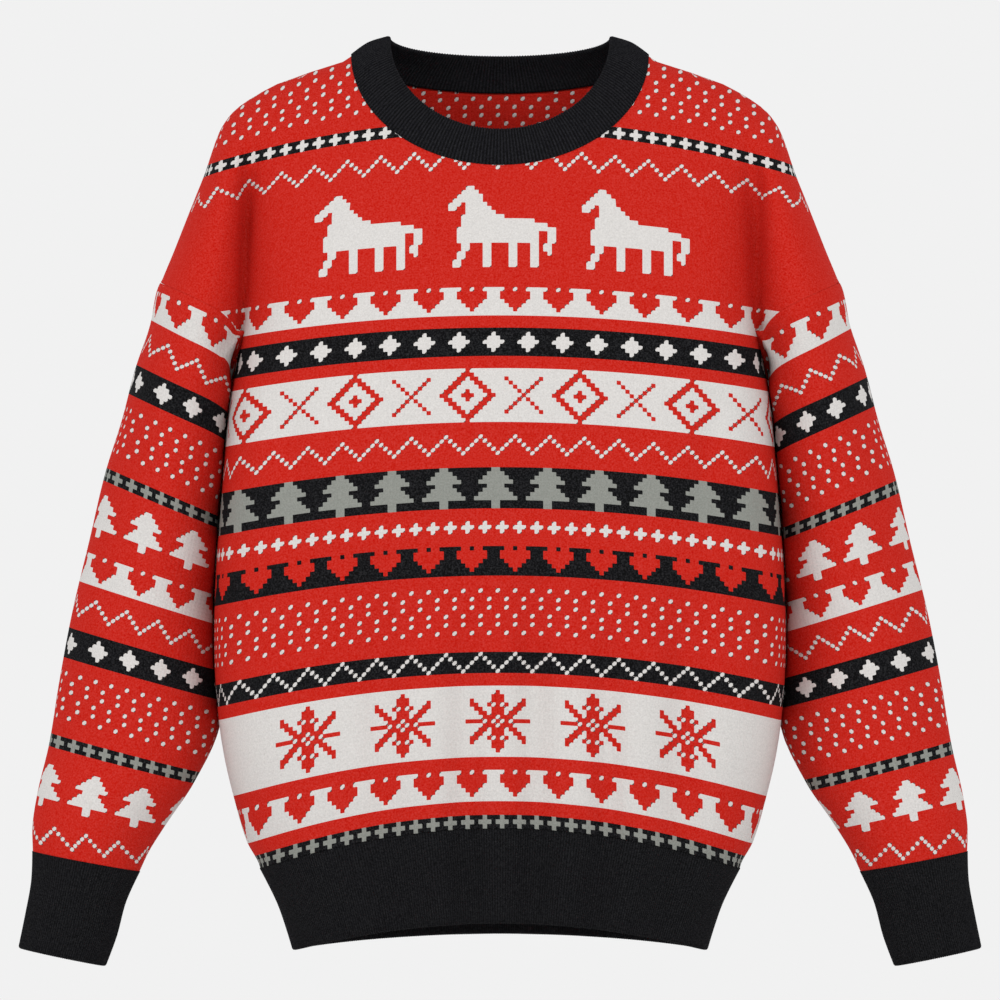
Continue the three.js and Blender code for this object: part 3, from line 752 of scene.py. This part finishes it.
def ring_points(row: Sequence[float], angles: Array, out: Array | float = 0.0) -> Array:
    """A ring of the left sleeve or cuff. Args: row: its sizes; angles: degrees from the outside over the
    front; out: how far its folds move it. Returns: rows of xyz in mm."""
    x, drop, width, slope, half_depth, middle, sag = row
    tilt, turn = math.radians(slope), np.radians(angles)
    inward = np.array([-math.cos(tilt), 0, -math.sin(tilt)])
    centre = np.array([x, middle, -drop]) + inward * width / 2
    points = centre - np.outer(np.cos(turn) * (width / 2 + out), inward)
    points[:, 1] -= np.sin(turn) * (half_depth + out)
    points[:, 2] -= sag * ((1 - np.cos(turn)) / 2) ** SAG_POWER
    s = BODY(np.minimum(-points[:, 2], HEM_SEAM))
    front = points[:, 1] < 0
    deep, power = np.where(front, s[:, 2], s[:, 3]), np.where(front, s[:, 4], s[:, 5])
    points[:, 0] = np.maximum(points[:, 0], s[:, 1] * superellipse(points[:, 1], deep, power) + CLEARANCE)
    return points


@dataclass
class Sleeve:
    """A sleeve from its armhole seam to its cuff seam. It leaves the seam tilted out from the plumb line, and
    flat under the arm, and its folds fade towards the cuff."""

    side: int
    folds: list[list[float]]
    bands: Bands
    seam_tilt: float = 24
    seam_gap: float = 0.12
    seam_reach: float = 5
    under_power: int = 14
    fold_fade: float = 6
    lag_power: int = 4
    least_course: float = 0.3
    samples: int = 120

    def rings(self) -> tuple[Array, Array]:
        """Key rings and the way down the outside to each. Returns: places and rings of points in mm."""
        angles = np.linspace(-180, 180, 2 * self.samples + 1)
        front, back = armhole_curve(Face.FRONT, self.samples), armhole_curve(Face.BACK, self.samples)
        seam = np.concatenate([back[::-1] * (1, 1, -1), front[1:] * (1, -1, -1)])
        under = np.sin(np.abs(np.radians(angles)) / 2) ** self.under_power
        tilt = math.radians(self.seam_tilt)
        tilted = np.outer(1 - under, [math.sin(tilt), 0, -math.cos(tilt)])
        way = unit(tilted + np.outer(under, [1, 0, 0]))
        seam = seam + way * self.seam_gap
        loops = [seam, seam + way * self.seam_reach]
        for i, row in enumerate(SLEEVE_RINGS):
            place = (i + 1) / len(SLEEVE_RINGS)
            fade = min((1 - place) * self.fold_fade, 1)
            out = fade * sum(SleeveFold(*fold)(place, angles % 360) for fold in self.folds)
            loops.append(ring_points(row, angles, out))
        loops = [2 * loops[0] - loops[1], *loops, 2 * loops[-1] - loops[-2]]
        rings = np.array(loops)
        places = way_along(rings[:, self.samples])
        return places - places[1], rings

    def build(self, name: str) -> Thing:
        """Knits the sleeve. Args: name: the object's. Returns: the finished object."""
        places, rings = self.rings()
        flat = Spline(np.column_stack([places, rings.reshape(len(rings), -1)]))
        courses = []
        count = 2 * self.samples + 1
        inner = ((1 - np.cos(np.linspace(-np.pi, np.pi, count))) / 2) ** self.lag_power
        every = np.arange(count)
        for number, place in enumerate(np.linspace(0, places[-2], SLEEVE_COURSES + 1)):
            lagging = place - COURSE_LAG(place)[0] * inner
            at = np.minimum(np.maximum(lagging, self.least_course * number), place)
            ring = flat(at).reshape(count, count, 3)[every, every] * (self.side, 1, 1)
            halves = ring[self.samples :], ring[self.samples :: -1]
            courses.append(Course(halves, GAUGE.sleeve_wale, 1.0))
        return Jacquard(name, courses, self.bands, 0, -self.side).build()


@dataclass(frozen=True)
class Rib:
    """A rib's looks in mm: pitch, height, mesh columns for each, the band's wall; the relief's share on the
    reverse, how much it flattens over the edge, and how full the ribs are."""

    pitch: float
    relief: float
    columns: int
    wall: float = 2.8
    reverse: float = 0.5
    flattened: float = 0.5
    power: float = 0.8


@dataclass
class RibBand:
    """A ribbed tube from its seam to its free edge, which rolls over."""

    name: str
    levels: list[Array]
    shares: list[float]
    rib: Rib
    rows: int = 16
    roll: int = 4

    def build(self) -> Thing:
        """Knits the band. Returns: the finished object."""
        way = way_along(ringed(self.levels[0]))
        count = round(way[-1] / self.rib.pitch) * self.rib.columns
        at = np.interp(np.arange(count) * way[-1] / count, way, np.arange(len(way)))
        loops = [interpolated(at, np.arange(len(level) + 1), ringed(level)) for level in self.levels]
        spline = Spline(np.column_stack([self.shares, np.array(loops).reshape(len(loops), -1)]))
        grid = spline(np.linspace(0, 1, self.rows + 1)).reshape(self.rows + 1, count, 3)
        sheets = self.sheets(grid)
        total = len(sheets)
        back_up = np.linspace(1, 0, total - self.rows - self.roll)
        depth = np.concatenate([np.linspace(0, 1, self.rows + 1), np.ones(self.roll - 1), back_up])
        i, j = (a.ravel()[:, None] for a in np.mgrid[:total, :count])
        down, over = np.broadcast_arrays(i + [[0, 1, 1, 0]], j + [[0, 0, 1, 1]])
        faces = [tuple(face) for face in (down % total * count + over % count).tolist()]
        deep = depth[down.ravel() % total] * way_along(grid[:, 0])[-1] / GAUGE.wale
        cells = np.column_stack([over.ravel() / self.rib.columns, deep])
        maps = {"cells": cells, "OFBake": np.column_stack([over.ravel() / count, down.ravel() / total])}
        thing = make_object(self.name, np.concatenate(sheets) * MM, faces, maps)
        if sum(p.center.dot(p.normal) * p.area for p in thing.data.polygons) < 0:
            thing.data.flip_normals()
        return thing

    def sheets(self, grid: Array) -> list[Array]:
        """Rings down the outside, over the free edge and up the inside. Args: grid: the smooth outside, in
        rings. Returns: rings of points with the relief of the ribs."""
        normal = unit(np.cross(ring_steps(grid, 1), np.gradient(grid, axis=0)))
        halfway = self.rows // 2
        off = grid[halfway] - grid[0].mean(axis=0)
        if (off[:, :2] * normal[halfway][:, :2]).sum() < 0:
            normal = -normal
        way = unit(grid[-1] - grid[-2])
        phase = np.arange(grid.shape[1]) / self.rib.columns
        rise = self.rib.relief * (0.5 + 0.5 * np.cos(2 * np.pi * phase)) ** self.rib.power
        wall = self.rib.wall
        sheets = [grid[i] + normal[i] * rise[:, None] for i in range(self.rows + 1)]
        middle = grid[-1] - normal[-1] * wall / 2
        for step in range(1, self.roll):
            turn, flat = np.pi * step / self.roll, step / self.roll * self.rib.flattened
            reach = (wall / 2 + rise * (1 - flat))[:, None]
            sheets.append(middle + normal[-1] * reach * math.cos(turn) + way * reach * math.sin(turn))
        for i in range(self.rows, -1, -2):
            sheets.append(grid[i] - normal[i] * (wall + rise[:, None] * self.rib.reverse))
        return sheets


# Looks


def linear(hex_colour: str) -> tuple[float, float, float, float]:
    """A screen colour as light. Args: hex_colour: like "cc2f25". Returns: linear red, green, blue, alpha."""
    parts = [int(hex_colour[i : i + 2], 16) / 255 for i in (0, 2, 4)]
    light = [c / 12.92 if c <= 0.04045 else ((c + 0.055) / 1.055) ** 2.4 for c in parts]
    return (*light, 1.0)


class Nodes:
    """The node tree of one material."""

    def __init__(self, material: bpy.types.Material) -> None:
        """Args: material: given a fresh, empty tree."""
        material.use_nodes = True
        self.tree = material.node_tree
        self.tree.nodes.clear()

    def add(
        self, kind: str, settings: dict | None = None, values: dict | None = None, **inputs: Any
    ) -> bpy.types.Node:
        """Adds a node. Args: kind: its type; settings: its properties; values: for inputs by number; inputs:
        by name. Both are values or sockets to link. Returns: the node."""
        node = self.tree.nodes.new("ShaderNode" + kind)
        for key, value in (settings or {}).items():
            setattr(node, key, value)
        for key, value in {**(values or {}), **inputs}.items():
            socket = node.inputs[key if isinstance(key, int) else key.replace("_", " ")]
            if isinstance(value, Socket):
                self.tree.links.new(value, socket)
            else:
                socket.default_value = value
        return node

    def math(self, operation: str, *values: Any) -> Socket:
        """A sum on numbers. Args: operation: its name; values: numbers or sockets. Returns: its socket."""
        return self.add("Math", {"operation": operation}, dict(enumerate(values))).outputs[0]

    def vector(self, operation: str, *values: Any, **inputs: Any) -> Socket:
        """A sum on colours. Args: operation: its name; values, inputs: as for add. Returns: its socket."""
        return self.add("VectorMath", {"operation": operation}, dict(enumerate(values)), **inputs).outputs[0]

    def mix(self, share: Any, first: Any, second: Any) -> Socket:
        """Two colours mixed. Args: share: of the second one; first, second: colours. Returns: a socket."""
        return self.add("Mix", {"data_type": "RGBA"}, {0: share, 6: first, 7: second}).outputs[2]

    def split(self, vector: Any) -> list[Socket]:
        """The three parts of a vector. Args: vector: its socket. Returns: their sockets."""
        return self.add("SeparateXYZ", Vector=vector).outputs[:3]

    def cells(self) -> list[Socket]:
        """Place on the knitted cells: cells across, courses up, and a zero."""
        return self.split(self.add("UVMap", {"uv_map": "cells"}).outputs[0])

    def face_value(self, name: str, output: str = "Vector") -> Socket:
        """What a face carries. Args: name: the attribute's; output: the socket to read. Returns: it."""
        return self.add("Attribute", {"attribute_name": name}).outputs[output]


@dataclass(frozen=True)
class Wool:
    """Matt wool yarn: soft, with a grain of short fibres."""

    roughness: float = 0.92
    specular: float = 0.04
    fibre_scale: float = 820.0
    fibre_change: float = 0.09
    fibre_light: float = 0.07
    fibre_rise: float = 0.35
    darkest: float = 0.004
    stitch_depth: float = 0.00022

    def finish(self, nodes: Nodes, colour: Any, height: Any) -> None:
        """Ends a wool material. Args: colour, height: sockets of the yarn's colour and its loops' relief."""
        grain = {"Vector": nodes.add("TexCoord").outputs["Object"], "Scale": self.fibre_scale}
        # Loose fibres: noise at about a millimetre gives the fuzzy grain of the yarn
        fibre = nodes.add("TexNoise", Detail=2.0, Roughness=0.6, **grain).outputs[0]
        change = nodes.math("MULTIPLY_ADD", fibre, 4 * self.fibre_change, 1 - 2 * self.fibre_change)
        shaded = nodes.vector("SCALE", colour, Scale=change)
        # Pale fibre ends: light flecks that show most on the dark yarns
        flecks = nodes.math("MULTIPLY", nodes.math("SUBTRACT", fibre, 0.5), self.fibre_light)
        shaded = nodes.vector("MAXIMUM", nodes.vector("ADD", shaded, flecks), (self.darkest,) * 3)
        # Soft relief: the loops' own rounding with the fibres on it breaks up the highlights
        rise = nodes.math("MULTIPLY_ADD", fibre, self.fibre_rise, height)
        bump = nodes.add("Bump", Strength=0.7, Distance=self.stitch_depth, Height=rise).outputs[0]
        gloss = {"Roughness": self.roughness, "Specular_IOR_Level": self.specular}
        shader = nodes.add("BsdfPrincipled", Base_Color=shaded, Normal=bump, **gloss)
        nodes.add("OutputMaterial", Surface=shader.outputs[0])


# Yarn codes no further apart than this are one yarn
SAME_YARN = 0.05


@dataclass(frozen=True)
class JacquardWool:
    """Machine-knitted jacquard: each cell one yarn, with painted shade, a dark grey, in the corners at the
    steps between yarns.
    """

    colours: dict[Yarn, str]
    # Painted shade: the dark grey put into the corners where the loops part at a step
    shadow: str = "4a4542"
    notch: float = 0.46
    rounding: float = 0.12
    # Painted light: how much brighter the inner faces are made
    inside_painted_light: float = 0.5
    wool: Wool = Wool()

    def make(self, name: str) -> bpy.types.Material:
        """Makes the material. Args: name: its name. Returns: the material."""
        nodes = Nodes(material := bpy.data.materials.new(name))
        calc = nodes.math
        own, left, right = nodes.split(nodes.face_value("yarn_across"))
        above, below, _ = nodes.split(nodes.face_value("yarn_along"))
        inside = nodes.face_value("inside", "Fac")
        u, v, _ = nodes.cells()
        f, g = calc("FRACT", u), calc("FRACT", v)
        # Steps of a light yarn: where two darker neighbours meet its corner the loops pull apart a little,
        # and the shade in that small gap is painted in dark grey
        corner = calc("ADD", f, calc("SUBTRACT", 1.0, g))
        other = calc("SUBTRACT", 2.0, corner)
        up = self.stepped(calc, own, left, above, calc("LESS_THAN", corner, self.notch))
        down = self.stepped(calc, own, right, below, calc("LESS_THAN", other, self.notch))
        light = calc("COMPARE", own, (Yarn.WHITE.value + 0.5) / len(Yarn), SAME_YARN)
        painted_gap_shade = calc("MULTIPLY", light, calc("MAXIMUM", up, down))
        # The other two corners are only rounded off, into the yarn beside them
        across_corner = calc("ADD", f, g)
        mixed = self.dyed(nodes, own)
        for beside, over, way in (
            (left, below, across_corner),
            (right, above, calc("SUBTRACT", 2.0, across_corner)),
        ):
            off = self.stepped(calc, own, beside, over, calc("LESS_THAN", way, self.rounding))
            mixed = nodes.mix(off, mixed, self.dyed(nodes, beside))
        # Painted shade: the gap corners of light cells take the dark grey shadow colour
        mixed = nodes.mix(painted_gap_shade, mixed, linear(self.shadow))
        # Inside of the cloth: painted light, the inner faces made brighter to stand in for light that hardly
        # reaches inside the hollow body
        painted_inside_light = calc("MULTIPLY_ADD", inside, self.inside_painted_light, 1.0)
        mixed = nodes.vector("SCALE", mixed, Scale=painted_inside_light)
        # Each cell swells between its edges, so that single loops show when seen from near
        swell = [calc("SINE", calc("MULTIPLY", place, math.pi)) for place in (f, g)]
        self.wool.finish(nodes, mixed, calc("MULTIPLY", *swell))
        return material

    def dyed(self, nodes: Nodes, code: Any) -> Any:
        """Colour of a yarn: four dyed wools, picked by code. Args: code: its socket. Returns: a socket."""
        ramp = nodes.add("ValToRGB", Fac=code)
        stops = ramp.color_ramp.elements
        ramp.color_ramp.interpolation = "CONSTANT"
        for i, yarn in enumerate(Yarn):
            stop = stops[i] if i < 2 else stops.new(0.5)
            stop.position = i / len(Yarn)
            stop.color = linear(self.colours[yarn])
        return ramp.outputs[0]

    def stepped(self, calc: Callable[..., Any], own: Any, beside: Any, over: Any, near: Any) -> Any:
        """Where a cell's corner is a step. Args: calc: sums; own, beside, over: yarns; near: 1 near it."""
        others = [calc("SUBTRACT", 1.0, calc("COMPARE", own, yarn, SAME_YARN)) for yarn in (beside, over)]
        return calc("MULTIPLY", calc("MULTIPLY", *others), near)


@dataclass(frozen=True)
class RibWool:
    """Plain ribbed wool of one dark yarn, with fine loops along each rib."""

    colour: str
    painted_rib_light: float
    wool: Wool = Wool(specular=0.07, stitch_depth=0.00016, fibre_light=0.035)

    def make(self, name: str) -> bpy.types.Material:
        """Makes the material. Args: name: its name. Returns: the material."""
        nodes = Nodes(material := bpy.data.materials.new(name))
        calc = nodes.math
        u, v, _ = nodes.cells()
        # Loops: a V on each rib, once every course
        lean = calc("ABSOLUTE", calc("SUBTRACT", calc("FRACT", u), 0.5))
        wave = calc("SINE", calc("MULTIPLY", calc("ADD", v, lean), 4 * math.pi))
        # Ribs: painted light and shade, the crests made lighter as if they catch light and the grooves
        # between them darker where little of it reaches
        painted_rib_light = calc("COSINE", calc("MULTIPLY", u, 2 * math.pi))
        light = calc("MULTIPLY_ADD", painted_rib_light, self.painted_rib_light, 1.0)
        base = nodes.vector("SCALE", linear(self.colour)[:3], Scale=light)
        self.wool.finish(nodes, base, wave)
        return material


KNIT = JacquardWool({Yarn.RED: "be271e", Yarn.WHITE: "cfccc9", Yarn.BLACK: "171719", Yarn.GREY: "888a84"})
# The second number of each rib wool is its painted light and shade across the ribs
NECK_RIB, RIB = RibWool("17171a", 0.55), RibWool("171719", 0.35)


@dataclass(frozen=True)
class NeckSizes:
    """Neck rib in mm: drops of its seam in front and behind; half width, height at the sides, and drops in
    front and behind of its free edge; the edge's depth over the seam's; and how far the band swells."""

    front_seam: float = 86
    back_seam: float = 28.4
    edge_half: float = 86
    edge_top: float = 13.8
    front_edge: float = 59
    back_edge: float = 0.8
    edge_depth: float = 0.87
    swell: float = 2.5


@dataclass(frozen=True)
class HemSizes:
    """Hem rib in mm: half widths of its seam and free edge; the edge's drop at the sides; its drop and depth
    and the seam's depth, in front and behind; where down it the band swells and is pulled in, and how far."""

    seam_half: float = 185
    edge_half: float = 160
    side_edge: float = 686
    front: tuple[float, float, float] = (663.6, 92, 104.5)
    back: tuple[float, float, float] = (675.8, 88, 96.5)
    share: float = 0.45
    swell: float = 2
    pull: float = 4.5


NECK, HEM = NeckSizes(), HemSizes()


@dataclass
class Garment:
    """The whole jumper."""

    pieces: dict[str, Thing] = field(default_factory=dict)

    def build(self) -> None:
        """Builds every piece."""
        panels = {
            "front_panel": Panel(Face.FRONT, NECK.front_seam, FRONT_FOLDS),
            "back_panel": Panel(Face.BACK, NECK.back_seam, BACK_FOLDS),
        }
        sleeves = {
            "sleeve_left": Sleeve(1, LEFT_SLEEVE_FOLDS, LEFT_SLEEVE_BANDS),
            "sleeve_right": Sleeve(-1, RIGHT_SLEEVE_FOLDS, RIGHT_SLEEVE_BANDS),
        }
        for name, part in {**panels, **sleeves}.items():
            self.pieces[name] = part.build(name + "_cloth")
            log.info("%s: %d faces", name, len(self.pieces[name].data.polygons))
        self.pieces["neck_rib"] = self.neck(panels).build()
        self.pieces["hem_rib"] = self.hem(panels).build()
        for name, side in (("cuff_left", 1), ("cuff_right", -1)):
            self.pieces[name] = self.cuff(name, side).build()

    def neck(self, panels: dict[str, Panel]) -> RibBand:
        """The doubled neck rib. Args: panels: front and back. Returns: the band."""
        angles = np.linspace(-np.pi / 2, np.pi / 2, 361)
        front, back = panels["front_panel"], panels["back_panel"]
        seam = np.vstack([front.neckline(angles)[:-1], back.neckline(-angles)[:-1]])
        inside = np.sqrt(np.maximum(1 - (seam[:, 0] / NECK_HALF) ** 2, 0))
        dip = np.where(seam[:, 1] < 0, NECK.front_edge, NECK.back_edge) + NECK.edge_top
        x, y = seam[:, 0] * NECK.edge_half / NECK_HALF, seam[:, 1] * NECK.edge_depth
        edge = np.column_stack([x, y, NECK.edge_top - dip * inside])
        normal = unit(np.cross(ring_steps(seam), unit(edge - seam)))
        middle = (seam + edge) / 2 + normal * NECK.swell
        return RibBand("neck_rib_cloth", [seam, middle, edge], [0, 0.5, 1], Rib(2.8, 0.75, 6))

    def hem(self, panels: dict[str, Panel]) -> RibBand:
        """The hem rib, pulled in below both panels. Args: panels: front and back. Returns: the band."""
        loops = []
        for name, (low, edge_depth, seam_depth), turn in (
            ("front_panel", HEM.front, 1),
            ("back_panel", HEM.back, -1),
        ):
            plus, minus = panels[name].courses()[-1].runs
            line = np.vstack([minus[::-1], plus[1:]])[::turn][:-1]
            x = line[:, 0] * HEM.edge_half / HEM.seam_half
            drop = low + (HEM.side_edge - low) * (x / HEM.edge_half) ** 2
            loops.append((line, np.column_stack([x, line[:, 1] * (edge_depth / seam_depth), -drop])))
        top, bottom = (np.vstack(level) for level in zip(*loops))
        normal = unit(np.cross(ring_steps(top), (0, 0, 1.0)))
        swell = normal * (HEM.swell - HEM.pull * np.abs(normal[:, :1]))
        middle = top + (bottom - top) * HEM.share + swell
        levels = [top - (0, 0, SEAM_GAP), middle, bottom]
        return RibBand("hem_rib_cloth", levels, [0, HEM.share, 1], Rib(2.1, 0.4, 4), 18)

    def cuff(self, name: str, side: int) -> RibBand:
        """A cuff. Args: name: its node; side: 1 for the wearer's left. Returns: the band."""
        angles = np.linspace(0, 360, 361)[:-1]
        levels = [ring_points(row, angles) * (side, 1, 1) for row in CUFF_RINGS]
        return RibBand(name + "_cloth", levels, [0, 0.32, 0.7, 1], Rib(2.1, 0.45, 5), 16)

    def dress(self) -> None:
        """Gives every piece its yarn."""
        knit, rib, neck = KNIT.make("jacquard wool"), RIB.make("rib wool"), NECK_RIB.make("neck rib wool")
        for name, piece in self.pieces.items():
            ribbed = "rib" in name or "cuff" in name
            piece.data.materials.append(neck if name == "neck_rib" else rib if ribbed else knit)

    def declare(self) -> None:
        """Ties each piece to its node and hides the model's part of the same name; each piece's cut is looked
        up but not used.
        """
        for name, piece in self.pieces.items():
            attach(piece, "root")
            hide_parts(name)
            flat, area = CUTS[name]


# Each cut laid flat: width and length, and its area where it isn't a rectangle, in metres
CUTS: dict[str, tuple[tuple[float, float], float | None]] = {
    "front_panel": ((0.64, 0.64), 0.33),
    "back_panel": ((0.64, 0.67), 0.34),
    "sleeve_left": ((0.40, 0.46), 0.15),
    "sleeve_right": ((0.40, 0.46), 0.15),
    "neck_rib": ((0.60, 0.031), None),
    "hem_rib": ((0.94, 0.075), None),
    "cuff_left": ((0.22, 0.07), None),
    "cuff_right": ((0.22, 0.07), None),
}


# Studio


@dataclass(frozen=True)
class Studio:
    """Plain pale floor, soft light and a level camera straight in front. Lengths in metres, sensor in mm."""

    view_width: float = 0.768
    centre: float = -0.3418
    distance: float = 14.0
    sensor: float = 36
    floor_drop: float = 0.9
    floor_half: float = 5
    paper: str = "f4f4f4"
    world_strength: float = 0.88

    def build(self) -> None:
        """Sets the floor, the lights and the camera."""
        self.floor()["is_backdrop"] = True
        world = bpy.data.worlds.new("studio")
        bpy.context.scene.world = world
        world.use_nodes = True
        background = world.node_tree.nodes["Background"]
        background.inputs[0].default_value = (1, 1, 1, 1)
        background.inputs[1].default_value = self.world_strength
        self.light("key", (-2.3, -2.8, 0.9), 25.0, 1.2)
        self.light("fill", (1.7, -2.7, 1.0), 18.0, 1.4)
        camera = added("camera", bpy.data.cameras.new("camera"))
        camera.location = (0, -self.distance, self.centre)
        camera.rotation_euler = (math.pi / 2, 0, 0)
        camera.data.sensor_width = self.sensor
        camera.data.lens = self.sensor * self.distance / self.view_width
        bpy.context.scene.camera = camera

    def floor(self) -> Thing:
        """A flat sheet of seamless paper below the jumper. Returns: the floor."""
        mesh = bpy.data.meshes.new("floor")
        corners = ((-1, -1), (1, -1), (1, 1), (-1, 1))
        points = [(x * self.floor_half, y * self.floor_half, -self.floor_drop) for x, y in corners]
        mesh.from_pydata(points, [], [(0, 1, 2, 3)])
        floor = added("floor", mesh)
        nodes = Nodes(paper := bpy.data.materials.new("paper"))
        # Seamless paper: even and matt
        shader = nodes.add("BsdfPrincipled", Base_Color=linear(self.paper), Roughness=0.9)
        nodes.add("OutputMaterial", Surface=shader.outputs[0])
        mesh.materials.append(paper)
        return floor

    def light(self, name: str, place: tuple[float, float, float], power: float, size: float) -> None:
        """A soft box turned to the jumper. Args: place: metres; power: watts; size: its side in metres."""
        lamp = bpy.data.lights.new(name, "AREA")
        lamp.energy, lamp.size = power, size
        thing = added(name, lamp)
        thing.location = place
        aim = Vector((0, 0, self.centre)) - Vector(place)
        thing.rotation_euler = aim.to_track_quat("-Z", "Y").to_euler()


def main() -> None:
    logging.basicConfig(level=logging.INFO, format="%(relativeCreated)d %(name)s: %(message)s")
    bpy.context.scene.view_settings.view_transform = "Standard"
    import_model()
    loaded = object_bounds()
    garment = Garment()
    garment.build()
    garment.dress()
    garment.declare()
    log.info("dressed")
    Studio().build()
    bounds = {"loaded": loaded, "final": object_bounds()}
    {key: [list(corner) for corner in box] for key, box in bounds.items()}


if __name__ == "__main__":
    main()
